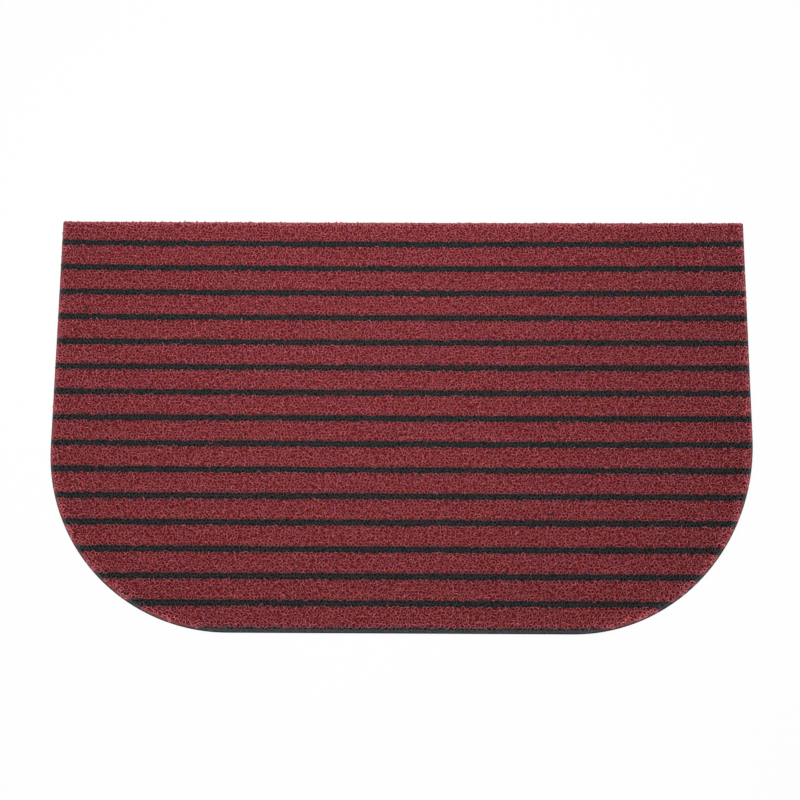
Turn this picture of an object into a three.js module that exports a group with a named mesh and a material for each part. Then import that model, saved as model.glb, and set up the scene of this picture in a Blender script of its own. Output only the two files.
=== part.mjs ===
// A half-round doormat: one flat D-shaped mat of short curled-loop pile, bonded to a thin backing sheet.
// Millimetres, +Z up. The origin is on the floor under the middle of the mat.
// The straight edge is the far one, at +Y. The two large round corners are the near ones, at -Y.

import * as THREE from 'three';

// Driving dimensions
const matWidth = 750;
const matDepth = 450;
const matThickness = 8;
const backingThickness = 2;

// Corner radii across and along the mat. The near corners are not quite alike, and the right one is
// drawn out along its side. The far ones are barely broken.
const nearLeftRadii = { across: 195, along: 196 };
const nearRightRadii = { across: 195, along: 209 };
const farCornerRadii = { across: 1.5, along: 1.5 };
const smallestRadius = 0.3;

// The straight edge is cut very slightly hollow: this much at its middle, and nothing at its ends.
const farEdgeHollow = 0.5;

// The pile stops just short of the backing's cut edge, and its rim rolls over into the sides.
const backingMargin = 0.8;
const layerGap = 0.3;
const rimRollWidth = 2.6;
const rimRollHeight = 3.4;

// Fineness of the round stretches
const nearCornerSteps = 48;
const farCornerSteps = 4;
const farEdgeSteps = 16;
const rimRollSteps = 7;

// Pile colours and finish, and those of the backing
const pileRed = 0x7b3438;
const pileRoughness = 0.95;
const backingGrey = 0x303033;
const backingRoughness = 0.8;

const quarterTurn = Math.PI / 2;

// The mat's corners, in order around the outline from the far right one, anticlockwise seen from above.
// side and end say on which side of X and of Y the corner lies.
const corners = [
  { side: 1, end: 1, radii: farCornerRadii, steps: farCornerSteps },
  { side: -1, end: 1, radii: farCornerRadii, steps: farCornerSteps },
  { side: -1, end: -1, radii: nearLeftRadii, steps: nearCornerSteps },
  { side: 1, end: -1, radii: nearRightRadii, steps: nearCornerSteps },
];

// One corner's arc, a quarter turn of an ellipse, drawn in by an inset from the mat's cut edge
function cornerArc({ side, end, radii, steps }, corner, inset) {
  const across = Math.max(radii.across - inset, smallestRadius);
  const along = Math.max(radii.along - inset, smallestRadius);
  const centreX = side * (matWidth / 2 - inset - across);
  const centreY = end * (matDepth / 2 - inset - along);
  return Array.from({ length: steps + 1 }, (_, step) => {
    const angle = (corner + step / steps) * quarterTurn;
    return new THREE.Vector2(centreX + across * Math.cos(angle), centreY + along * Math.sin(angle));
  });
}

// The points between the two far corners, from the right one to the left one
function farEdgePoints(start, end) {
  return Array.from({ length: farEdgeSteps - 1 }, (_, step) => (
    start.clone().lerp(end, (step + 1) / farEdgeSteps)
  ));
}

// A point of the far edge, moved in to the hollow that the edge follows
function drawnIn(point) {
  const dip = farEdgeHollow * (1 - (point.x / (matWidth / 2)) ** 2);
  return new THREE.Vector2(point.x, point.y - dip);
}

// The points of the D-shaped outline at height z, drawn in by an inset from the mat's cut edge
function outlineRing(inset, z) {
  const [farRight, farLeft, nearLeft, nearRight] = corners.map((shape, corner) => (
    cornerArc(shape, corner, inset)
  ));
  const farEdge = farEdgePoints(farRight.at(-1), farLeft[0]);
  const farSide = [...farRight, ...farEdge, ...farLeft].map(drawnIn);
  return [...farSide, ...nearLeft, ...nearRight].map(({ x, y }) => new THREE.Vector3(x, y, z));
}

// A closed slab through a stack of rings, from its flat underside to its flat top
function slabThroughRings(rings) {
  const count = rings[0].length;
  const capTriangles = THREE.ShapeUtils.triangulateShape(
    rings[0].map((point) => new THREE.Vector2(point.x, point.y)),
    [],
  );
  const triangles = [];
  for (let level = 0; level < rings.length - 1; level += 1) {
    const lower = level * count;
    const upper = lower + count;
    for (let point = 0; point < count; point += 1) {
      const next = (point + 1) % count;
      triangles.push(lower + point, lower + next, upper + next);
      triangles.push(lower + point, upper + next, upper + point);
    }
  }
  const topStart = (rings.length - 1) * count;
  for (const [first, second, third] of capTriangles) {
    triangles.push(third, second, first);
    triangles.push(topStart + first, topStart + second, topStart + third);
  }
  const geometry = new THREE.BufferGeometry().setFromPoints(rings.flat());
  geometry.setIndex(triangles);
  geometry.computeVertexNormals();
  return geometry;
}

// The backing sheet: cut square through its thickness, flat on the floor
function backingGeometry() {
  return slabThroughRings([outlineRing(0, 0), outlineRing(0, backingThickness)]);
}

// The pile layer: upright at its foot, with a soft quarter-round roll from the sides into the top
function pileGeometry() {
  const foot = backingThickness + layerGap;
  const rollStart = matThickness - rimRollHeight;
  const rings = [outlineRing(backingMargin, foot)];
  for (let step = 0; step <= rimRollSteps; step += 1) {
    const angle = (step / rimRollSteps) * quarterTurn;
    const inset = backingMargin + rimRollWidth * (1 - Math.cos(angle));
    rings.push(outlineRing(inset, rollStart + rimRollHeight * Math.sin(angle)));
  }
  return slabThroughRings(rings);
}

// A named mesh with its own material
function layer(name, geometry, color, roughness) {
  const material = new THREE.MeshStandardMaterial({ color, roughness, metalness: 0 });
  const mesh = new THREE.Mesh(geometry, material);
  mesh.name = name;
  return mesh;
}

const group = new THREE.Group();
group.name = 'half_round_doormat';
group.add(layer('backing', backingGeometry(), backingGrey, backingRoughness));
group.add(layer('pile', pileGeometry(), pileRed, pileRoughness));

export default group;
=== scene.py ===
"""A half-round doormat: short curled loops of yarn in red bands and charcoal stripes, on a backing sheet.

The mat lies flat on the floor. +Z is up, +Y is the straight far edge, and -Y is the rounded near side.
All lengths are in metres, written as a number of millimetres times MM.
"""

from __future__ import annotations

import logging
import math
from dataclasses import dataclass, field
from enum import Enum, IntEnum
from typing import Any

import bpy
import numpy as np
from mathutils import Matrix, Vector

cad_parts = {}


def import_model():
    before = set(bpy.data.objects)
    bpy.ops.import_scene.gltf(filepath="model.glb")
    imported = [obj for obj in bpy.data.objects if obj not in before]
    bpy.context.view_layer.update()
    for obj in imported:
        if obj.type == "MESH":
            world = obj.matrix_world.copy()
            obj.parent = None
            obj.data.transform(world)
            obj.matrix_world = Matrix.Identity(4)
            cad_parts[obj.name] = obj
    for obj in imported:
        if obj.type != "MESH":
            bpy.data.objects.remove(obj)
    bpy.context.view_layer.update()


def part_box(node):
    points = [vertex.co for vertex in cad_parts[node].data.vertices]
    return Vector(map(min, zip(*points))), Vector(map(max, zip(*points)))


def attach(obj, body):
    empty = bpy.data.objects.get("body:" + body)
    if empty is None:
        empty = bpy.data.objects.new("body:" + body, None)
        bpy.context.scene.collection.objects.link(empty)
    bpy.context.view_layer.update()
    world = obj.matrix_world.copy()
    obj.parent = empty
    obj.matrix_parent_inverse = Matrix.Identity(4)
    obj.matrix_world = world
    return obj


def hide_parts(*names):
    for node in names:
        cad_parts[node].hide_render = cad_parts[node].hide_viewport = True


Colour = tuple[float, float, float, float]

MM = 0.001
FULL_TURN = 2 * math.pi
QUARTER_TURN = math.pi / 2
BODY = "root"
BAKE_MAP = "OFBake"
WHITE = (1.0, 1.0, 1.0, 1.0)

# The middle of a noise, and of a loop's tone and warmth
MIDDLE = 0.5

# The curve of a screen's values: the highest value, the end and slope of the curve's straight foot,
# and the shift and power of the rest
SCREEN_WHITE = 255
FOOT_END = 0.04045
FOOT_SLOPE = 12.92
CURVE_SHIFT = 0.055
CURVE_POWER = 2.4

# A quad of a tube joins two rings: how far each of its corners is along the tube, and round it
QUAD_AHEAD = np.array([0, 0, 1, 1])
QUAD_BESIDE = np.array([0, 1, 1, 0])

# The free border of each cell in the bake map, as a share of the cell
MAP_GAP = 0.06

# How matte fuzzy yarn takes the light
YARN_SHEEN = {"Specular IOR Level": 0.25, "Sheen Weight": 0.15, "Sheen Roughness": 0.6}

log = logging.getLogger("doormat")


class Yarn(Enum):
    """The two yarns that the pile is made of."""

    RED = "red"
    CHARCOAL = "charcoal"


class MixSocket(IntEnum):
    """Where a colour Mix node has its sockets, three inputs and the result."""

    SHARE = 0
    FIRST = 6
    SECOND = 7
    MIXED = 2


# Shader expressions


class Value:
    """A number socket in a shader. Arithmetic on it adds Math nodes."""

    def __init__(self, graph: NodeGraph, socket: bpy.types.NodeSocket) -> None:
        """Wraps one output socket of a graph."""
        self.graph = graph
        self.socket = socket

    def math(self, operation: str, *operands: Value | float) -> Value:
        """The result of one Math node of an operation, with its operands in order."""
        node = self.graph.node("ShaderNodeMath", {"operation": operation}, dict(enumerate(operands)))
        return Value(self.graph, node.outputs[0])

    def __add__(self, other: Value | float) -> Value:
        """Self plus other."""
        return self.math("ADD", self, other)

    def __radd__(self, other: float) -> Value:
        """Other plus self."""
        return self.math("ADD", other, self)

    def __sub__(self, other: Value | float) -> Value:
        """Self minus other."""
        return self.math("SUBTRACT", self, other)

    def __rsub__(self, other: float) -> Value:
        """Other minus self."""
        return self.math("SUBTRACT", other, self)

    def __mul__(self, other: Value | float) -> Value:
        """Self times other."""
        return self.math("MULTIPLY", self, other)

    def __rmul__(self, other: float) -> Value:
        """Other times self."""
        return self.math("MULTIPLY", other, self)

    def __truediv__(self, other: Value | float) -> Value:
        """Self divided by other."""
        return self.math("DIVIDE", self, other)

    def absolute(self) -> Value:
        """Self without its sign."""
        return self.math("ABSOLUTE", self)

    def cosine(self) -> Value:
        """The cosine of self, in radians."""
        return self.math("COSINE", self)

    def fraction(self) -> Value:
        """What self is over the next lower whole number."""
        return self.math("FRACT", self)

    def ramp(self, low: float, high: float) -> Value:
        """Self stretched so that low becomes 0 and high becomes 1, smoothly and held between them.

        Args:
            low: The value that gives 0.
            high: The value that gives 1, which may be below low.

        Returns:
            The stretched value.
        """
        inputs = {"Value": self, "From Min": low, "From Max": high}
        node = self.graph.node("ShaderNodeMapRange", {"interpolation_type": "SMOOTHSTEP"}, inputs)
        return Value(self.graph, node.outputs["Result"])


class NodeGraph:
    """The nodes of one material or of the surroundings."""

    def __init__(self, owner: bpy.types.Material | bpy.types.World) -> None:
        """Starts an empty graph.

        Args:
            owner: The material or the surroundings that the nodes belong to.
        """
        owner.use_nodes = True
        self.owner = owner
        self.tree = owner.node_tree
        self.tree.nodes.clear()

    def node(
        self,
        kind: str,
        settings: dict[str, Any] | None = None,
        inputs: dict[str | int, Any] | None = None,
    ) -> bpy.types.Node:
        """Adds one node.

        Args:
            kind: The node's type.
            settings: Attributes of the node, set before its sockets.
            inputs: What goes into its sockets, by name or number: a Value, a socket or a constant.

        Returns:
            The new node.
        """
        node = self.tree.nodes.new(kind)
        for name, setting in (settings or {}).items():
            setattr(node, name, setting)
        for key, given in (inputs or {}).items():
            socket = node.inputs[key]
            if isinstance(given, Value):
                given = given.socket
            if isinstance(given, bpy.types.NodeSocket):
                self.tree.links.new(given, socket)
            else:
                socket.default_value = given
        return node

    def place(self) -> bpy.types.NodeSocket:
        """The surface point's place on the mat, in metres."""
        return self.node("ShaderNodeTexCoord").outputs["Object"]

    def noise(self, size: float, detail: float = 2.0) -> Value:
        """Soft random blotches of a width in metres, fixed to the mat: from about 0.25 to 0.75."""
        inputs = {"Vector": self.place(), "Scale": 1 / size, "Detail": detail}
        return Value(self, self.node("ShaderNodeTexNoise", None, inputs).outputs["Fac"])

    def coordinate(self, axis: str) -> Value:
        """The surface point's X, Y or Z on the mat, in metres."""
        split = self.node("ShaderNodeSeparateXYZ", None, {0: self.place()})
        return Value(self, split.outputs[axis])

    def attribute(self, name: str) -> Value:
        """A number stored on the mesh."""
        node = self.node("ShaderNodeAttribute", {"attribute_name": name})
        return Value(self, node.outputs["Fac"])

    def mix(self, share: Value | float, first: Any, second: Any) -> bpy.types.NodeSocket:
        """A colour between two colours or sockets, with a share of the second from 0 to 1."""
        inputs = {MixSocket.SHARE: share, MixSocket.FIRST: first, MixSocket.SECOND: second}
        return self.node("ShaderNodeMix", {"data_type": "RGBA"}, inputs).outputs[MixSocket.MIXED]

    def bump(self, height: Value, distance: float, strength: float) -> bpy.types.NodeSocket:
        """The normal of a relief too fine for the mesh, whose height of 1 is distance metres."""
        inputs = {"Height": height, "Distance": distance, "Strength": strength}
        return self.node("ShaderNodeBump", None, inputs).outputs[0]

    def surface(self, inputs: dict[str | int, Any]) -> bpy.types.Material:
        """Ends a material's graph in one Principled surface.

        Args:
            inputs: What goes into the shader's sockets.

        Returns:
            The material.
        """
        shader = self.node("ShaderNodeBsdfPrincipled", None, inputs)
        self.node("ShaderNodeOutputMaterial", None, {"Surface": shader.outputs[0]})
        return self.owner


def colour(*channels: float) -> Colour:
    """A linear colour, without the screen's curve.

    Args:
        channels: Its red, green and blue on a screen, from 0 to 255.

    Returns:
        The colour.
    """
    values = []
    for channel in channels:
        share = channel / SCREEN_WHITE
        curved = ((share + CURVE_SHIFT) / (1 + CURVE_SHIFT)) ** CURVE_POWER
        values.append(share / FOOT_SLOPE if share <= FOOT_END else curved)
    return (*values, 1.0)


# Finishes


@dataclass(frozen=True, kw_only=True)
class YarnColour:
    """The colour of bulky synthetic yarn, mottled from loop to loop, and paler near the cut edge: partly
    loose fibres, partly painted light.
    """

    shade: Colour
    light: Colour
    warm: Colour
    cool: Colour
    # The pale colour near the cut edge: partly loose fibres, partly painted light.
    frayed_and_lit: Colour
    tone_gain: float = 0.75
    tone_reach: float = 0.45
    tone_shift: float = 0.15
    tint_share: float = 0.6
    tint_gain: float = 2.0
    tint_reach: float = 0.7
    tint_size: float = 1.6 * MM
    mottle_size: float = 1.8 * MM
    mottle_gain: float = 3.6
    fibre_gain: float = 0.2

    def body(self, graph: NodeGraph, fibres: Value) -> bpy.types.NodeSocket:
        """Adds the colour to a graph.

        Args:
            graph: The graph.
            fibres: The yarn's fine fibres, from about 0.25 to 0.75.

        Returns:
            The colour's socket.
        """
        mottle = (graph.noise(self.mottle_size, detail=0.0) - MIDDLE) * self.mottle_gain
        tone = (graph.attribute("tone") - MIDDLE) * self.tone_gain + mottle + fibres * self.fibre_gain
        middle = MIDDLE * self.fibre_gain + self.tone_shift
        low, high = middle - self.tone_reach, middle + self.tone_reach
        body = graph.mix(tone.ramp(low, high), self.shade, self.light)
        blotches = graph.noise(self.tint_size, detail=1.0) - MIDDLE
        tint = blotches * self.tint_gain + graph.attribute("warmth")
        for reach, tinted in ((self.tint_reach, self.warm), (-self.tint_reach, self.cool)):
            share = tint.ramp(MIDDLE, MIDDLE + reach) * self.tint_share
            body = graph.mix(share, body, tinted)
        # Paler near the cut edge: partly loose fibres, partly painted light on the rim.
        return graph.mix(graph.attribute("fraying"), body, self.frayed_and_lit)


@dataclass(frozen=True, kw_only=True)
class YarnFinish(YarnColour):
    """Matte yarn in loops, with painted shade that darkens it low in the pile."""

    name: str
    # Painted shade: the darker colour that the yarn is mixed towards low in the pile.
    deep_shade: Colour
    deep_shade_share: float = 0.45
    roughness: float = 0.86
    fibre_roughness: float = 0.12
    fibre_size: float = 0.28 * MM
    fibre_relief: float = 0.12 * MM
    relief_strength: float = 0.7

    def material(self, darkest: float, lightest: float) -> bpy.types.Material:
        """Makes the loops' material.

        Args:
            darkest: The height at which the painted shade is strongest.
            lightest: The height from which no painted shade darkens the yarn.

        Returns:
            The material.
        """
        graph = NodeGraph(bpy.data.materials.new(self.name))
        fibres = graph.noise(self.fibre_size, detail=3.0)
        # Painted shade: lower in the pile the yarn's colour is mixed towards a darker colour.
        depth = graph.coordinate("Z").ramp(lightest, darkest) * self.deep_shade_share
        return graph.surface(
            {
                "Base Color": graph.mix(depth, self.body(graph, fibres), self.deep_shade),
                "Roughness": fibres * self.fibre_roughness + self.roughness,
                "Normal": graph.bump(fibres, self.fibre_relief, self.relief_strength),
                **YARN_SHEEN,
            }
        )


RED_YARN = YarnFinish(
    name="red_yarn",
    shade=colour(157, 36, 42),
    light=colour(210, 108, 116),
    warm=colour(188, 66, 54),
    cool=colour(164, 62, 104),
    frayed_and_lit=colour(242, 124, 134),
    deep_shade=colour(132, 39, 44),
)

CHARCOAL_YARN = YarnFinish(
    name="charcoal_yarn",
    shade=colour(32, 31, 33),
    light=colour(47, 46, 49),
    warm=colour(48, 41, 43),
    cool=colour(34, 44, 49),
    frayed_and_lit=colour(90, 88, 92),
    deep_shade=colour(29, 28, 30),
)

RED_RIM = YarnColour(
    shade=colour(88, 24, 30),
    light=colour(172, 78, 84),
    warm=colour(160, 66, 56),
    cool=colour(138, 54, 84),
    frayed_and_lit=colour(138, 76, 80),
    mottle_size=1.6 * MM,
)

CHARCOAL_RIM = YarnColour(
    shade=colour(34, 33, 35),
    light=colour(60, 58, 62),
    warm=colour(56, 48, 50),
    cool=colour(46, 54, 60),
    frayed_and_lit=colour(68, 79, 86),
    mottle_size=1.6 * MM,
)


@dataclass(frozen=True)
class RimFinish:
    """The cut edge's fused yarn ends, in the same two yarns as the loops."""

    red: YarnColour = RED_RIM
    charcoal: YarnColour = CHARCOAL_RIM
    relief: float = 0.25 * MM
    relief_strength: float = 0.8
    grain: float = 0.45 * MM
    roughness: float = 0.84
    grain_roughness: float = 0.12

    def material(self) -> bpy.types.Material:
        """Makes the material, which follows the mesh's own charcoal mark.

        Returns:
            The material.
        """
        graph = NodeGraph(bpy.data.materials.new("cut_rim"))
        fibres = graph.noise(self.grain, detail=3.0)
        red = self.red.body(graph, fibres)
        charcoal = self.charcoal.body(graph, fibres)
        return graph.surface(
            {
                "Base Color": graph.mix(graph.attribute("charcoal"), red, charcoal),
                "Roughness": fibres * self.grain_roughness + self.roughness,
                "Normal": graph.bump(fibres, self.relief, self.relief_strength),
                **YARN_SHEEN,
            }
        )


@dataclass(frozen=True)
class FoundationFinish:
    """The dense foot of the pile, seen only through the hollows of the loops, in the same stripes. Its
    red is darker than the loops' red yarn, and near-black blotches are laid on it: both painted shade.
    """

    # Darker than the loops' red yarn, as painted shade.
    red: Colour = colour(115, 32, 37)
    charcoal: Colour = colour(33, 33, 35)
    # Painted shade: the near-black colour laid in blotches for the dark hollows of the pile.
    hollow: Colour = colour(7, 4, 4)
    hollow_shade_share: float = 0.5
    hollow_start: float = 0.7
    hollow_full: float = 0.3
    grain: float = 1.1 * MM
    relief: float = 0.9 * MM
    specular: float = 0.1

    def material(self, stripes: StripePlan) -> bpy.types.Material:
        """Makes the material.

        Args:
            stripes: Where the charcoal stripes are.

        Returns:
            The material.
        """
        graph = NodeGraph(bpy.data.materials.new("pile_foundation"))
        grain = graph.noise(self.grain, detail=3.0)
        # Painted shade: blotches of the grain are darkened towards the near-black colour.
        hollows = grain.ramp(self.hollow_start, self.hollow_full) * self.hollow_shade_share
        body = graph.mix(stripes.shader_mask(graph), self.red, self.charcoal)
        return graph.surface(
            {
                "Base Color": graph.mix(hollows, body, self.hollow),
                "Roughness": 1.0,
                "Specular IOR Level": self.specular,
                "Normal": graph.bump(grain, self.relief, strength=1.0),
            }
        )


@dataclass(frozen=True)
class BackingFinish:
    """Matte charcoal sheet with a fine pebbled grain."""

    dark: Colour = colour(43, 45, 49)
    light: Colour = colour(64, 68, 73)
    pebble: float = 0.9 * MM
    blotch: float = 40 * MM
    blotch_share: float = 0.5
    lightest: float = 0.75
    darkest: float = 0.25
    roughness: float = 0.62
    pebble_roughness: float = 0.25
    specular: float = 0.35
    relief: float = 0.12 * MM
    relief_strength: float = 0.8

    def material(self) -> bpy.types.Material:
        """Makes the material.

        Returns:
            The material.
        """
        graph = NodeGraph(bpy.data.materials.new("backing_sheet"))
        pebbles = graph.noise(self.pebble)
        blotches = graph.noise(self.blotch, detail=3.0)
        tone = pebbles * (1 - self.blotch_share) + blotches * self.blotch_share
        return graph.surface(
            {
                "Base Color": graph.mix(tone.ramp(self.darkest, self.lightest), self.dark, self.light),
                "Roughness": pebbles * self.pebble_roughness + self.roughness,
                "Specular IOR Level": self.specular,
                "Normal": graph.bump(pebbles, self.relief, self.relief_strength),
            }
        )


# The mat's plan


@dataclass(frozen=True)
class MatOutline:
    """The mat's cut edge: a straight far side, slightly hollow, and two round near corners."""

    half_width: float
    half_depth: float
    near_left: tuple[float, float] = (195 * MM, 196 * MM)
    near_right: tuple[float, float] = (195 * MM, 209 * MM)
    far_corner: tuple[float, float] = (1.5 * MM, 1.5 * MM)
    smallest: float = 0.3 * MM
    hollow: float = 0.5 * MM
    near_steps: int = 64
    far_steps: int = 4
    edge_steps: int = 24
    edge_spacing: float = 2 * MM
    points_at_once: int = 2000

    def ring(self, inset: float) -> np.ndarray:
        """The outline's points, drawn in by an inset.

        Args:
            inset: How far inside the cut edge the points lie.

        Returns:
            An array of x and y, anticlockwise seen from above, from the far right corner on.
        """
        corners = (
            (1, 1, self.far_corner, self.far_steps),
            (-1, 1, self.far_corner, self.far_steps),
            (-1, -1, self.near_left, self.near_steps),
            (1, -1, self.near_right, self.near_steps),
        )
        stretches = []
        for number, (side, end, radii, steps) in enumerate(corners):
            across, along = (max(radius - inset, self.smallest) for radius in radii)
            angle = (number + np.linspace(0, 1, steps + 1)) * QUARTER_TURN
            x = side * (self.half_width - inset - across) + across * np.cos(angle)
            y = end * (self.half_depth - inset - along) + along * np.sin(angle)
            stretches.append(np.column_stack([x, y]))
        between = np.linspace(stretches[0][-1], stretches[1][0], self.edge_steps + 1)[1:-1]
        far_side = np.concatenate([stretches[0], between, stretches[1]])
        far_side[:, 1] -= self.hollow * (1 - (far_side[:, 0] / self.half_width) ** 2)
        return np.concatenate([far_side, stretches[2], stretches[3]])

    def evenly(self, spacing: float, inset: float = 0.0) -> np.ndarray:
        """Points drawn in from even steps along the cut edge.

        Args:
            spacing: About how far apart they are on the cut edge.
            inset: How far inside the cut edge they lie.

        Returns:
            An array of x and y.
        """
        edge = self.ring(0.0)
        steps = np.linalg.norm(np.roll(edge, -1, axis=0) - edge, axis=1)
        travelled = np.concatenate([[0.0], np.cumsum(steps)])
        count = int(round(travelled[-1] / spacing))
        at = np.arange(count) * travelled[-1] / count
        ring = self.ring(inset)
        closed = np.concatenate([ring, ring[:1]])
        return np.column_stack([np.interp(at, travelled, values) for values in closed.T])

    @staticmethod
    def outward(points: np.ndarray) -> np.ndarray:
        """The direction out of the mat along its edge.

        Args:
            points: The points of a closed ring.

        Returns:
            The direction at each of them.
        """
        ahead = np.roll(points, -1, axis=0) - np.roll(points, 1, axis=0)
        out = np.column_stack([ahead[:, 1], -ahead[:, 0]])
        return out / np.linalg.norm(out, axis=1, keepdims=True)

    @staticmethod
    def slant(outward: np.ndarray) -> np.ndarray:
        """How much an edge slants across the rows of pile: 1 at 45 degrees, and 0 along or across."""
        return np.abs(2 * outward[:, 0] * outward[:, 1])

    def from_edge(self, points: np.ndarray) -> tuple[np.ndarray, np.ndarray]:
        """Where points lie from the nearest part of the cut edge.

        Args:
            points: An array of x and y.

        Returns:
            How far inside the edge each point is, below 0 outside it, and the direction out of
            the mat there.
        """
        edge = self.evenly(self.edge_spacing)
        out = self.outward(edge)
        depths = []
        directions = []
        for few in np.array_split(points, 1 + len(points) // self.points_at_once):
            gap = edge[None] - few[:, None]
            nearest = np.argmin((gap**2).sum(axis=2), axis=1)
            depths.append((gap[np.arange(len(few)), nearest] * out[nearest]).sum(axis=1))
            directions.append(out[nearest])
        return np.concatenate(depths), np.concatenate(directions)


@dataclass(frozen=True)
class StripePlan:
    """Where the charcoal stripes cross the mat.

    The pitch is almost even: the rows swell by drift in the middle of the mat, and their ends
    bow towards the far edge by bow_far at the first stripe, less at each one after it.
    """

    far_y: float
    first_gap: float = 26.7 * MM
    pitch: float = 28.04 * MM
    count: int = 16
    half_width: float = 3.35 * MM
    drift: float = 0.5 * MM
    bow_far: float = 1.33 * MM
    bow_change: float = 0.096 * MM
    bow_span: float = 375 * MM
    wobble: float = 3 * MM
    wobble_size: float = 6 * MM
    blur: float = 0.4 * MM
    corrections: int = 3

    @property
    def first_y(self) -> float:
        """Where the first stripe would be on an even pitch."""
        return self.far_y - self.first_gap

    def row_y(self, number: np.ndarray, x: np.ndarray) -> np.ndarray:
        """The y of rows of pile.

        Args:
            number: A stripe's number from 0, or between whole numbers for a row between stripes.
            x: Where along the row.

        Returns:
            The row's y there.
        """
        swell = -self.drift * np.cos(FULL_TURN * number / (self.count - 1))
        bow = (self.bow_far - self.bow_change * number) * (x / self.bow_span) ** 2
        return self.first_y - self.pitch * number + swell + bow

    def number_at(self, x: np.ndarray, y: np.ndarray) -> np.ndarray:
        """Which row passes through each point, found by correcting an even pitch with row_y.

        Args:
            x: Places along the rows.
            y: Places across them.

        Returns:
            The row's number, with a part after the point between stripes.
        """
        number = (self.first_y - y) / self.pitch
        for _ in range(self.corrections):
            number = number + (self.row_y(number, x) - y) / self.pitch
        return number

    def away(self, number: np.ndarray) -> np.ndarray:
        """How far rows are from the middle of the nearest stripe."""
        return np.abs(number - np.round(number)) * self.pitch

    def shader_mask(self, graph: NodeGraph) -> Value:
        """How much of the surface is charcoal, the same plan as row_y for a shader.

        Args:
            graph: The graph to add it to.

        Returns:
            A value of 1 in a stripe and 0 between stripes.
        """
        across = graph.coordinate("X") / self.bow_span
        along = graph.coordinate("Y") + (graph.noise(self.wobble_size) - MIDDLE) * self.wobble
        even = (self.first_y - along) / self.pitch
        swell = (even * (FULL_TURN / (self.count - 1))).cosine() * -self.drift
        bow = (self.bow_far - even * self.bow_change) * across * across
        number = even + (swell + bow) / self.pitch
        away = ((number + 0.5).fraction() - 0.5).absolute() * self.pitch
        return away.ramp(self.half_width + self.blur, self.half_width - self.blur)


# Meshes


def mesh_from_arrays(name: str, points: np.ndarray, faces: list[np.ndarray]) -> bpy.types.Mesh:
    """A smooth mesh from arrays of points and faces.

    Args:
        name: The mesh's name.
        points: An array of x, y and z.
        faces: Arrays of point numbers, each with a row for each face.

    Returns:
        The mesh.
    """
    mesh = bpy.data.meshes.new(name)
    corners = np.concatenate([group.ravel() for group in faces])
    lengths = np.concatenate([np.full(len(group), group.shape[1]) for group in faces])
    starts = np.concatenate([[0], np.cumsum(lengths)[:-1]])
    mesh.vertices.add(len(points))
    mesh.vertices.foreach_set("co", points.astype(np.float32).ravel())
    mesh.loops.add(len(corners))
    mesh.loops.foreach_set("vertex_index", corners.astype(np.int32))
    mesh.polygons.add(len(lengths))
    mesh.polygons.foreach_set("loop_start", starts.astype(np.int32))
    mesh.polygons.foreach_set("use_smooth", np.ones(len(lengths), bool))
    mesh.update(calc_edges=True)
    return mesh


def wall_quads(point: np.ndarray) -> np.ndarray:
    """The faces between each closed ring of points and the next.

    Args:
        point: The points' numbers, by ring and by place round it, for one tube or for many.

    Returns:
        The numbers of each face's four corners.
    """
    beside = np.roll(point, -1, axis=-1)
    here, ahead = np.s_[..., :-1, :], np.s_[..., 1:, :]
    corners = [point[here], beside[here], beside[ahead], point[ahead]]
    return np.stack(corners, axis=-1).reshape(-1, 4)


def set_looks(mesh: bpy.types.Mesh, shape: tuple[int, ...], looks: dict[str, np.ndarray]) -> None:
    """Stores numbers for a mesh's points, for its finish to read.

    Args:
        mesh: The mesh.
        shape: The shape of the array that its points were made from.
        looks: Arrays of the numbers by name, which broadcast to that shape.
    """
    for name, values in looks.items():
        attribute = mesh.attributes.new(name, "FLOAT", "POINT")
        attribute.data.foreach_set("value", np.broadcast_to(values, shape).astype(np.float32).ravel())


def set_bake_map(mesh: bpy.types.Mesh, places: np.ndarray) -> None:
    """Gives each of a mesh's face corners its place in the map that its finish is baked through."""
    layer = mesh.uv_layers.new(name=BAKE_MAP)
    layer.data.foreach_set("uv", places.astype(np.float32).ravel())


def within_cell(share: np.ndarray) -> np.ndarray:
    """A place in a cell of the bake map, inside the cell's free border, from 0 to 1."""
    return MAP_GAP + (1 - 2 * MAP_GAP) * share


def new_piece(mesh: bpy.types.Mesh, material: bpy.types.Material) -> bpy.types.Object:
    """Puts a mesh into the scene.

    Args:
        mesh: The mesh, whose name the piece takes.
        material: Its one material.

    Returns:
        The piece.
    """
    mesh.materials.append(material)
    piece = bpy.data.objects.new(mesh.name, mesh)
    bpy.context.scene.collection.objects.link(piece)
    return piece


def slab_mesh(name: str, outline: MatOutline, levels: list[tuple[float, float]]) -> bpy.types.Mesh:
    """A closed slab in the mat's outline, from its underside to its top.

    Args:
        name: The mesh's name.
        outline: The mat's cut edge.
        levels: How far inside the cut edge, and how high, each ring of its points is.

    Returns:
        The mesh.
    """
    flat = np.concatenate([outline.ring(inset) for inset, _ in levels])
    point = np.arange(len(flat)).reshape(len(levels), -1)
    heights = np.repeat([height for _, height in levels], point.shape[1])
    caps = np.stack([point[0, ::-1], point[-1]])
    return mesh_from_arrays(name, np.column_stack([flat, heights]), [wall_quads(point), caps])


# The curled loops


@dataclass
class Rows:
    """The rows of the pile from far to near, one in each place of these columns."""

    number: np.ndarray
    odd: np.ndarray
    charcoal: np.ndarray
    beside: np.ndarray
    shift: np.ndarray


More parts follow.
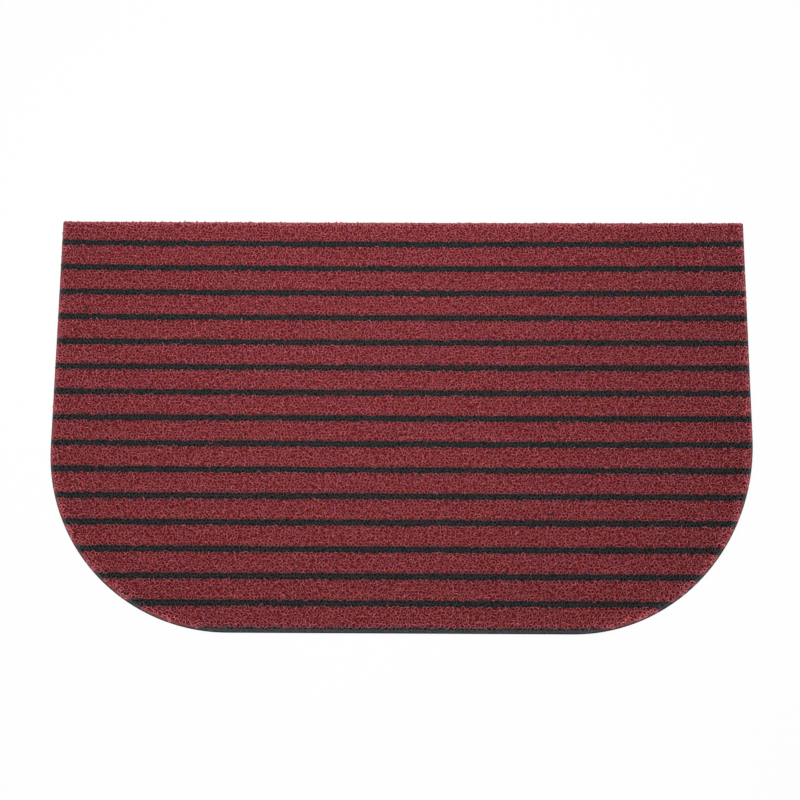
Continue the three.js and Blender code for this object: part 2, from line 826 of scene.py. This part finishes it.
@dataclass
class Tufts:
    """Curled loops of yarn, one in each place of these arrays."""

    centre: np.ndarray
    radius: np.ndarray
    tilt: np.ndarray
    tilt_towards: np.ndarray
    number: np.ndarray
    charcoal: np.ndarray
    tone: np.ndarray
    fraying: np.ndarray

    def chosen(self, which: np.ndarray) -> Tufts:
        """Only some of the loops."""
        return Tufts(**{name: values[which] for name, values in vars(self).items()})

    def axes(self) -> tuple[np.ndarray, np.ndarray, np.ndarray]:
        """The tilted plane that each loop lies in.

        Returns:
            Two directions in the plane, and the one out of it, for each loop.
        """
        towards_x, towards_y = np.cos(self.tilt_towards), np.sin(self.tilt_towards)
        level = np.cos(self.tilt)
        downhill = np.column_stack([towards_x * level, towards_y * level, -np.sin(self.tilt)])
        across = np.column_stack([-towards_y, towards_x, np.zeros(len(level))])
        return downhill, across, np.cross(downhill, across)


@dataclass
class LoopPile:
    """The pile: curled loops in rows across the mat, in red bands and charcoal stripes."""

    outline: MatOutline
    stripes: StripePlan
    top: float
    rows_per_pitch: int = 8
    loop_spacing: float = 4.0 * MM
    loop_radius: float = 2.0 * MM
    radius_spread: float = 0.16
    yarn_radius: float = 0.56 * MM
    wander_along: float = 0.5 * MM
    wander_across: float = 0.32 * MM
    wander_inner: float = 0.68 * MM
    evenness: float = 0.6
    meander: float = 0.7 * MM
    meander_length: float = 12 * MM
    meander_reaches: int = 3
    far_shift: float = 0.3 * MM
    beside_shift: float = 0.15 * MM
    beside_tone: float = 0.1
    stagger: float = 0.5
    stagger_spread: float = 0.5
    rim_width: float = 2.7 * MM
    edge_room: float = 1.2 * MM
    tilt: float = math.radians(18)
    steepest: float = math.radians(52)
    turns: float = 1.05
    segments: int = 6
    sides: int = 3
    dive: float = 2.2 * MM
    dive_sharpness: float = 3.5
    waves: int = 2
    buckle: float = 0.4 * MM
    ripple: float = 0.16
    stretch_spread: float = 0.18
    most_stretch: float = 0.35
    thickness_spread: float = 0.08
    frayed_swell: float = 0.4
    height_spread: float = 0.22 * MM
    most_height: float = 1.6
    sink: float = 0.55 * MM
    tone_spread: float = 0.04
    tone_ripple: float = 0.05
    # How much paler loops near the cut edge are painted: partly loose fibres, partly painted light.
    fraying: float = 0.54
    fraying_and_rim_light_width: float = 2.8 * MM
    slant_fraying_and_rim_light: float = 0.4
    slant_reach: float = 0.2
    # Painted light: extra paleness on one side of the rim, and the direction that side faces.
    painted_side_light: float = 0.5
    lit_side: tuple[float, float] = (0.8, -0.6)
    stray_reach: float = 9.0 * MM
    stray_share: float = 0.0008
    rng: np.random.Generator = field(default_factory=lambda: np.random.default_rng(seed=11))

    def uneven(self, shape: tuple[int, int], spread: float, most: float = 2.2) -> np.ndarray:
        """Random amounts for a grid of loops, which even out over a few neighbours.

        Args:
            shape: The grid's rows and columns.
            spread: Their standard deviation.
            most: The largest one, in standard deviations.

        Returns:
            The amounts, about 0.
        """
        draws = self.rng.normal(0, 1, shape)
        near = sum(np.roll(draws, step, axis) for step in (-1, 1) for axis in (0, 1)) / 4
        draws -= self.evenness * near
        return spread * (draws / draws.std()).clip(-most, most)

    def slow_drift(self, shape: tuple[int, int]) -> np.ndarray:
        """How far each loop of a grid drifts off its row, alike for all the rows of a band.

        Args:
            shape: The grid's rows and columns.

        Returns:
            The distances, as large as the meander in the middle of a band, and none in a stripe.
        """
        rows, columns = shape
        bands = rows // self.rows_per_pitch
        reach = self.meander_length / self.loop_spacing
        widest = round(self.meander_reaches * reach)
        offsets = np.arange(-widest, widest + 1)
        weights = np.exp(-0.5 * (offsets / reach) ** 2)
        draws = self.rng.normal(0, 1, (bands, columns + 2 * widest))
        drift = np.stack([np.convolve(band, weights, "valid") for band in draws])
        drift *= self.meander / drift.std()
        place = (np.arange(rows) % self.rows_per_pitch + 0.5) / self.rows_per_pitch
        swing = np.sin(math.pi * place) ** 2
        return np.repeat(drift, self.rows_per_pitch, axis=0) * swing[:, None]

    def rows(self) -> Rows:
        """Plans the rows, from one pitch beyond the first stripe to the near edge.

        A stripe takes the last row of one pitch and the first row of the next, with a red row
        beside each. The two rows on its far side stand a little further off, except at the last
        stripe, and the red row on its near side stands a little closer.

        Returns:
            The rows.
        """
        per_pitch, count = self.rows_per_pitch, self.stripes.count
        row = np.arange(-per_pitch, count * per_pitch)[:, None]
        place = row % per_pitch
        far_beside = per_pitch - 2
        charcoal = (place == 0) | (place > far_beside)
        beside = (place == 1) | (place == far_beside)
        beyond = (place >= far_beside) & (row < (count - 2) * per_pitch + far_beside)
        shift = np.where(beyond, self.far_shift + beside * self.beside_shift, 0.0)
        shift += np.where(place == 1, self.beside_shift, 0.0)
        return Rows((row + 0.5) / per_pitch, row % 2, charcoal, beside, shift)

    def spots(self, rows: Rows, column: np.ndarray) -> tuple[np.ndarray, np.ndarray]:
        """Where the loops stand.

        Args:
            rows: The rows of the pile.
            column: The number of each loop of a row.

        Returns:
            Their x and their y, by row and column.
        """
        spread = self.stagger_spread
        stagger = self.stagger * rows.odd + self.rng.uniform(-spread, spread, rows.odd.shape)
        x = (column + stagger) * self.loop_spacing - self.outline.half_width
        x += self.uneven(x.shape, self.wander_along)
        wander = np.where(rows.charcoal | rows.beside, self.wander_across, self.wander_inner)
        y = self.stripes.row_y(rows.number, x) + wander * self.uneven(x.shape, 1.0)
        return x, y + self.slow_drift(x.shape) + rows.shift

    def tufts(self) -> Tufts:
        """Every loop of the pile inside its cut rim, row by row.

        Returns:
            The loops.
        """
        rows = self.rows()
        column = np.arange(int(2 * self.outline.half_width / self.loop_spacing) + 1)[None]
        x, y = self.spots(rows, column)
        unevenness = self.uneven(x.shape, self.height_spread, self.most_height)
        height = self.top - self.yarn_radius - self.sink + unevenness
        depth, outward = self.outline.from_edge(np.column_stack([x.ravel(), y.ravel()]))
        inside = depth > self.rim_width
        kept = inside.reshape(x.shape)
        depth, outward = depth[inside], outward[inside]
        radius = self.loop_radius * (1 + self.uneven(x.shape, self.radius_spread)[kept])
        tufts = Tufts(
            centre=np.stack([x, y, height], axis=-1)[kept],
            radius=np.minimum(radius, depth - self.edge_room),
            tilt=np.abs(self.rng.normal(0, self.tilt, len(depth))).clip(0, self.steepest),
            tilt_towards=self.rng.uniform(0, FULL_TURN, len(depth)),
            number=np.broadcast_to(rows.number, x.shape)[kept],
            charcoal=np.broadcast_to(rows.charcoal, x.shape)[kept],
            tone=(MIDDLE + self.beside_tone * rows.beside + self.uneven(x.shape, self.tone_spread))[kept],
            fraying=self.frayed_and_lit(depth, outward),
        )
        return self.with_strays(tufts)

    def frayed_and_lit(self, depth: np.ndarray, outward: np.ndarray) -> np.ndarray:
        """How pale loops are painted near the cut edge, partly for loose fibres and partly as painted rim
        light: most at the cut edge, more round the slanting corners, and painted light on the lit side.

        Args:
            depth: How far inside the cut edge each loop is.
            outward: The direction out of the mat there.

        Returns:
            The shares, from 0 to 1.
        """
        slant = self.outline.slant(outward)
        # Painted light: loops facing the lit side are painted paler, as if more light fell on them.
        facing_lit_side = (outward @ np.array(self.lit_side)).clip(0, 1)
        most = self.fraying + self.slant_fraying_and_rim_light * slant + self.painted_side_light * facing_lit_side
        reach = self.fraying_and_rim_light_width * (1 + self.slant_reach * slant)
        return most.clip(0, 1) * np.exp((self.rim_width - depth) / reach)

    def with_strays(self, tufts: Tufts) -> Tufts:
        """Lets a few loops beside the stripes take the other colour, as tufting does.

        Args:
            tufts: The loops in their planned colours.

        Returns:
            The same loops, with strays.
        """
        beside = self.stripes.away(tufts.number) < self.stray_reach
        stray = beside & (self.rng.uniform(0, 1, len(tufts.number)) < self.stray_share)
        tufts.charcoal = tufts.charcoal ^ stray
        return tufts

    def wave(self, angle: np.ndarray) -> np.ndarray:
        """A wave round each loop, which starts anywhere."""
        start = self.rng.uniform(0, FULL_TURN, len(angle))
        return np.sin(self.waves * angle + start[:, None])

    def mesh(self, name: str, tufts: Tufts) -> bpy.types.Mesh:
        """Builds the loops as closed tubes.

        Each loop is a little over one turn, and both of its ends dive into the foot of the pile.

        Args:
            name: The mesh's name.
            tufts: The loops to build.

        Returns:
            The mesh, with each loop's tone, warmth and paleness at the cut edge (partly loose fibres,
            partly painted light), and a map for baking.
        """
        count = len(tufts.radius)
        along = np.linspace(0, 1, self.segments + 1)
        start = self.rng.uniform(0, FULL_TURN, count)
        way = self.rng.choice([-1.0, 1.0], count)
        angle = start[:, None] + way[:, None] * along[None] * self.turns * FULL_TURN
        uneven = self.rng.normal(0, self.stretch_spread, count)
        stretch = 1 + uneven.clip(-self.most_stretch, self.most_stretch)
        reach = tufts.radius[:, None] * (1 + self.ripple * self.wave(angle))
        lift = self.buckle * self.wave(angle)
        drop = self.dive * np.abs(2 * along - 1) ** self.dive_sharpness
        flat_x = reach * np.cos(angle) * stretch[:, None]
        flat_y = reach * np.sin(angle) / stretch[:, None]
        axes = tufts.axes()
        amounts = (flat_x, flat_y, lift - drop)
        line = sum(amount[..., None] * axis[:, None] for amount, axis in zip(amounts, axes))
        line += tufts.centre[:, None]
        swell = 1 + self.frayed_swell * tufts.fraying
        rings = self.tube_rings(line, axes[2], self.yarn_radius * swell)
        return self.tube_mesh(name, rings, tufts)

    def tube_rings(self, line: np.ndarray, normal: np.ndarray, yarn: np.ndarray) -> np.ndarray:
        """The yarn's surface round each loop's middle line.

        Args:
            line: The middle lines, by loop and step.
            normal: The direction out of each loop's plane.
            yarn: The radius of each loop's yarn.

        Returns:
            The surface points, by loop, step and side.
        """
        ahead = np.gradient(line, axis=1)
        ahead /= np.linalg.norm(ahead, axis=2, keepdims=True)
        side = np.cross(ahead, normal[:, None])
        side /= np.linalg.norm(side, axis=2, keepdims=True)
        upward = np.cross(side, ahead)
        uneven = self.rng.normal(0, self.thickness_spread, line.shape[:2])
        thickness = yarn[:, None] * (1 + uneven.clip(-self.most_stretch, self.most_stretch))
        rings = []
        for number in range(self.sides):
            turn = QUARTER_TURN - number * FULL_TURN / self.sides
            offset = math.cos(turn) * side + math.sin(turn) * upward
            rings.append(line + thickness[..., None] * offset)
        return np.stack(rings, axis=2)

    def tube_mesh(self, name: str, rings: np.ndarray, tufts: Tufts) -> bpy.types.Mesh:
        """Joins rings of surface points into closed tubes.

        Args:
            name: The mesh's name.
            rings: The surface points, by loop, step and side.
            tufts: The loops, for their colours.

        Returns:
            The mesh.
        """
        shape = rings.shape[:3]
        point = np.arange(math.prod(shape)).reshape(shape)
        caps = np.concatenate([point[:, 0, ::-1], point[:, -1]])
        mesh = mesh_from_arrays(name, rings.reshape(-1, 3), [wall_quads(point), caps])
        self.add_loop_map(mesh, shape)
        tone = tufts.tone[:, None] + self.rng.normal(0, self.tone_ripple, shape[:2])
        warmth = self.rng.uniform(0, 1, len(tone))
        looks = {
            "tone": tone[..., None],
            "warmth": warmth[:, None, None],
            "fraying": tufts.fraying[:, None, None],
        }
        set_looks(mesh, shape, looks)
        return mesh

    def add_loop_map(self, mesh: bpy.types.Mesh, shape: tuple[int, int, int]) -> None:
        """Gives every loop a cell of its own in the map that the finish is baked through.

        Args:
            mesh: The loops' mesh, with its quads first and its end caps last.
            shape: How many loops there are, rings in each, and points in each ring.
        """
        count, steps, sides = shape
        columns = math.ceil(math.sqrt(count))
        corner = np.column_stack([np.arange(count) % columns, np.arange(count) // columns])
        step = np.arange(steps - 1)[:, None, None] + QUAD_AHEAD
        side = np.arange(sides)[None, :, None] + QUAD_BESIDE
        step, side = np.broadcast_arrays(step, side)
        inside = np.stack([step / (steps - 1), side / sides], axis=-1).reshape(-1, 2)
        quads = corner[:, None] + within_cell(inside)
        cap_end = np.repeat([0.0, 1.0], sides)
        cap_side = np.tile(np.linspace(0, 1, sides), 2)
        cap_spots = np.column_stack([cap_end, cap_side]).reshape(2, 1, sides, 2)
        caps = corner[None, :, None] + within_cell(cap_spots)
        set_bake_map(mesh, np.concatenate([quads.reshape(-1, 2), caps.reshape(-1, 2)]) / columns)


# The foot of the pile, its rim and the backing


@dataclass
class Foundation:
    """The dense foot of the pile that the loops stand in."""

    outline: MatOutline
    stripes: StripePlan
    foot: float
    top: float
    margin: float = 2.6 * MM
    roll: float = 1.2 * MM
    roll_steps: int = 4

    def build(self) -> bpy.types.Object:
        """Builds the foot of the pile as a slab with a rolled rim.

        Returns:
            The piece.
        """
        levels = [(self.margin, self.foot)]
        for step in range(self.roll_steps + 1):
            angle = step / self.roll_steps * QUARTER_TURN
            inset = self.margin + self.roll * (1 - math.cos(angle))
            levels.append((inset, self.top - self.roll * (1 - math.sin(angle))))
        mesh = slab_mesh("pile_foundation", self.outline, levels)
        return new_piece(mesh, FoundationFinish().material(self.stripes))


@dataclass
class CutRim:
    """The cut edge of the pile: yarn ends pressed into one soft, uneven roll, painted paler, partly for
    loose fibres and partly as painted light.

    Its section has an upright outer wall and a half-oval top. It spreads where the edge runs
    across the rows at a slant, which is round the near corners.
    """

    outline: MatOutline
    stripes: StripePlan
    foot: float
    top: float
    inset: float = 1.0 * MM
    outer_width: float = 1.3 * MM
    inner_width: float = 1.8 * MM
    wall: float = 2.0 * MM
    below_top: float = 1.6 * MM
    slant_spread: float = 0.1
    step: float = 0.9 * MM
    dome_steps: int = 8
    grit: float = 0.22 * MM
    lumps: float = 0.2 * MM
    lump_steps: int = 5
    tone_spread: float = 0.3
    # How much paler the roll's surface is painted: partly loose fibres, partly painted light.
    fraying: float = 0.6
    slant_fraying_and_rim_light: float = 0.4
    mark_jitter: float = 0.4 * MM
    map_rows: int = 24
    rng: np.random.Generator = field(default_factory=lambda: np.random.default_rng(seed=5))

    def section(self) -> np.ndarray:
        """The roll's section: over its dome from the outer wall to the inner one, and back at the foot.

        Returns:
            Rows of how far in from the outer wall, and how high.
        """
        rise = self.top - self.below_top - self.foot - self.wall
        angle = np.linspace(math.pi, 0, self.dome_steps + 1)
        width = np.where(angle < QUARTER_TURN, self.outer_width, self.inner_width)
        across = self.outer_width - width * np.cos(angle)
        height = self.foot + self.wall + rise * np.sin(angle)
        foot = [[0.0, self.foot], [self.outer_width + self.inner_width, self.foot]]
        return np.concatenate([np.column_stack([across, height]), foot])

    def lumpiness(self, shape: tuple[int, int]) -> np.ndarray:
        """How far each point stands out: fine grit, on lumps that run on for a few steps.

        Args:
            shape: How many steps along the roll, and points in its section.

        Returns:
            The distances.
        """
        lumps = self.rng.normal(0, 1, shape)
        lumps = sum(np.roll(lumps, step, axis=0) for step in range(self.lump_steps))
        lumps = self.lumps * lumps / math.sqrt(self.lump_steps)
        return lumps + self.grit * self.rng.normal(0, 1, shape)

    def build(self) -> bpy.types.Object:
        """Builds the roll as one closed tube round the mat.

        Returns:
            The piece.
        """
        edge = self.outline.evenly(self.step)
        slant = self.outline.slant(self.outline.outward(edge))
        points = self.surface(edge, slant)
        shape = points.shape[:2]
        point = np.arange(math.prod(shape)).reshape(shape)
        closed = np.concatenate([point, point[:1]])
        mesh = mesh_from_arrays("cut_rim", points.reshape(-1, 3), [wall_quads(closed)])
        self.add_map(mesh, shape)
        self.add_looks(mesh, points, slant)
        return new_piece(mesh, RimFinish().material())

    def surface(self, edge: np.ndarray, slant: np.ndarray) -> np.ndarray:
        """The roll's lumpy surface: its section, carried round the mat.

        Args:
            edge: Even steps along the mat's cut edge.
            slant: How much the edge slants across the rows at each step, from 0 to 1.

        Returns:
            The points, by step and by place in the section.
        """
        section = self.section()
        whole = self.inset + section[:, 0].max()
        inward = (self.outline.evenly(self.step, whole) - edge) / whole
        reach = self.inset + section[None, :, 0] * (1 + self.slant_spread * slant[:, None])
        apart = section - section.mean(axis=0)
        apart /= np.linalg.norm(apart, axis=1, keepdims=True)
        bumps = self.lumpiness(reach.shape)
        bumps[:, section[:, 1] <= self.foot] = 0
        reach = reach + bumps * apart[None, :, 0]
        height = section[None, :, 1] + bumps * apart[None, :, 1]
        flat = edge[:, None] + inward[:, None] * reach[..., None]
        return np.concatenate([flat, height[..., None]], axis=-1)

    def add_looks(self, mesh: bpy.types.Mesh, points: np.ndarray, slant: np.ndarray) -> None:
        """Marks the roll's points for its finish: which yarn, how light, and how pale it is painted,
        partly for loose fibres and partly as painted light.

        Args:
            mesh: The roll's mesh.
            points: Its points, by step and by place in the section.
            slant: How much the edge slants across the rows at each step.
        """
        shape = points.shape[:2]
        number = self.stripes.number_at(points[..., 0], points[..., 1])
        jitter = self.rng.normal(0, self.mark_jitter, shape)
        charcoal = self.stripes.away(number) + jitter < self.stripes.half_width
        charcoal &= np.round(number) >= 0
        outermost = np.concatenate([np.linspace(1, 0, self.dome_steps + 1), [1, 0]])
        looks = {
            "charcoal": charcoal,
            "tone": MIDDLE + self.rng.normal(0, self.tone_spread, shape),
            "warmth": self.rng.uniform(0, 1, shape),
            "fraying": (self.fraying + self.slant_fraying_and_rim_light * slant[:, None]) * outermost,
        }
        set_looks(mesh, shape, looks)

    def add_map(self, mesh: bpy.types.Mesh, shape: tuple[int, int]) -> None:
        """Lays the roll out in rows, one above another, in the map that its finish is baked through.

        Args:
            mesh: The roll's mesh.
            shape: How many steps along the roll, and points in its section.
        """
        steps, around = shape
        per_row = math.ceil(steps / self.map_rows)
        step = np.arange(steps)[:, None, None]
        side = (np.arange(around)[None, :, None] + QUAD_BESIDE) / around
        along = (step % per_row + QUAD_AHEAD) / per_row
        row = (step // per_row + within_cell(side)) / self.map_rows
        along, row = np.broadcast_arrays(along, row)
        set_bake_map(mesh, np.stack([along, row], axis=-1))


@dataclass
class Backing:
    """The backing sheet, with its cut edge barely broken."""

    outline: MatOutline
    thickness: float
    broken_edge: float = 0.2 * MM

    def build(self) -> bpy.types.Object:
        """Builds the sheet.

        Returns:
            The piece.
        """
        edge, top = self.broken_edge, self.thickness
        levels = [(edge, 0.0), (0.0, edge), (0.0, top - edge), (edge, top)]
        return new_piece(slab_mesh("backing_sheet", self.outline, levels), BackingFinish().material())


# The mat as a whole


@dataclass
class Doormat:
    """The mat: its backing sheet, the foot of its pile, and its loops in groups of bands."""

    outline: MatOutline
    stripes: StripePlan
    backing_thickness: float
    pile_top: float
    foundation_top: float = 5.75 * MM
    # How far below the pile's top the painted shade on the loops begins.
    lit_depth: float = 0.6 * MM
    red_groups: int = 4
    charcoal_groups: int = 2

    def loop_pieces(self) -> list[bpy.types.Object]:
        """Builds the loops: groups of neighbouring bands, in each yarn.

        Returns:
            The pieces.
        """
        pile = LoopPile(self.outline, self.stripes, self.pile_top)
        tufts = pile.tufts()
        groups = {Yarn.RED: self.red_groups, Yarn.CHARCOAL: self.charcoal_groups}
        finishes = {Yarn.RED: RED_YARN, Yarn.CHARCOAL: CHARCOAL_YARN}
        made = []
        for yarn, parts in groups.items():
            material = finishes[yarn].material(self.foundation_top, self.pile_top - self.lit_depth)
            own = tufts.chosen(tufts.charcoal == (yarn is Yarn.CHARCOAL))
            group = ((own.number + 1) * parts / self.stripes.count).astype(int).clip(0, parts - 1)
            for part in range(parts):
                name = f"{yarn.value}_loops_{part + 1}"
                mesh = pile.mesh(name, own.chosen(group == part))
                piece = new_piece(mesh, material)
                made.append(piece)
        return made

    def build(self) -> list[bpy.types.Object]:
        """Builds every piece and ties it to the frame.

        Returns:
            The pieces.
        """
        backing = Backing(self.outline, self.backing_thickness).build()
        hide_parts("backing")
        foot = self.backing_thickness
        base = Foundation(self.outline, self.stripes, foot, self.foundation_top).build()
        rim = CutRim(self.outline, self.stripes, foot, self.pile_top).build()
        pile = [base, rim, *self.loop_pieces()]
        for piece in pile:
            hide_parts("pile")
        pieces = [backing, *pile]
        for piece in pieces:
            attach(piece, BODY)
        self.flat_area()
        return pieces

    def flat_area(self) -> float:
        """The area that the mat was cut to, in square metres."""
        x, y = self.outline.ring(0.0).T
        return float(np.sum(x * np.roll(y, -1) - y * np.roll(x, -1))) / 2


# The room


@dataclass
class Studio:
    """A plain white floor, soft white light, and the viewpoint."""

    elevation: float = math.radians(77.151)
    turn: float = math.radians(2.639)
    roll: float = math.radians(-2.361)
    target: tuple[float, float, float] = (-1.438 * MM, 22.677 * MM, 8.0 * MM)
    distance: float = 1679.4 * MM
    lens: float = 70.55
    sensor: float = 36.0
    floor_size: float = 30.0
    floor_level: float = -0.2 * MM
    floor_glow: float = 0.955
    floor_shade: Colour = (0.04, 0.04, 0.04, 1.0)
    sky_strength: float = 0.4
    lamp_place: tuple[float, float, float] = (-66 * MM, 146 * MM, 725 * MM)
    lamp_size: float = 800 * MM
    lamp_energy: float = 5.9

    def add_floor(self) -> None:
        """Lays a large white floor, which isn't part of the mat.

        It glows evenly, as a white floor does in an overexposed picture, so it takes almost no shadow.
        """
        half = self.floor_size / 2
        corners = np.array([(-half, -half, 0), (half, -half, 0), (half, half, 0), (-half, half, 0)])
        mesh = mesh_from_arrays("floor", corners, [np.array([[0, 1, 2, 3]])])
        graph = NodeGraph(bpy.data.materials.new("floor_white"))
        material = graph.surface(
            {
                "Base Color": self.floor_shade,
                "Roughness": 1.0,
                "Specular IOR Level": 0.0,
                "Emission Color": WHITE,
                "Emission Strength": self.floor_glow,
            }
        )
        floor = new_piece(mesh, material)
        floor.location.z = self.floor_level

    def add_light(self) -> None:
        """Surrounds the mat with white light, and hangs a soft lamp over its far half."""
        scene = bpy.context.scene
        scene.world = bpy.data.worlds.new("surroundings")
        graph = NodeGraph(scene.world)
        inputs = {"Color": WHITE, "Strength": self.sky_strength}
        sky = graph.node("ShaderNodeBackground", None, inputs)
        graph.node("ShaderNodeOutputWorld", None, {"Surface": sky.outputs[0]})
        lamp = bpy.data.lights.new("soft_lamp", "AREA")
        lamp.shape = "DISK"
        lamp.size = self.lamp_size
        lamp.energy = self.lamp_energy
        holder = bpy.data.objects.new("soft_lamp", lamp)
        holder.location = self.lamp_place
        scene.collection.objects.link(holder)
        scene.view_settings.view_transform = "Standard"
        scene.view_settings.look = "None"

    def add_camera(self) -> None:
        """Puts the camera where the mat was photographed from."""
        data = bpy.data.cameras.new("viewpoint")
        data.lens = self.lens
        data.sensor_width = self.sensor
        camera = bpy.data.objects.new("viewpoint", data)
        turned = Matrix.Rotation(self.turn, 3, "Z")
        turned = turned @ Matrix.Rotation(QUARTER_TURN - self.elevation, 3, "X")
        turned = turned @ Matrix.Rotation(self.roll, 3, "Z")
        back = turned @ Vector((0, 0, 1))
        place = Vector(self.target) + self.distance * back
        camera.matrix_world = Matrix.Translation(place) @ turned.to_4x4()
        bpy.context.scene.collection.objects.link(camera)
        bpy.context.scene.camera = camera

    def build(self) -> None:
        """Adds the floor, the light and the camera."""
        self.add_floor()
        self.add_light()
        self.add_camera()


def main() -> None:
    """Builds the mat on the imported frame, and the room round it."""
    logging.basicConfig(level=logging.INFO, format="%(name)s %(message)s")
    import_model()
    low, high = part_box("backing")
    _, pile_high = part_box("pile")
    Studio().build()
    outline = MatOutline((high.x - low.x) / 2, (high.y - low.y) / 2)
    stripes = StripePlan(far_y=outline.half_depth)
    mat = Doormat(outline, stripes, high.z - low.z, pile_high.z)
    for piece in mat.build():
        triangles = sum(len(face.vertices) - 2 for face in piece.data.polygons)
        log.info("%s: %d triangles", piece.name, triangles)


if __name__ == "__main__":
    main()
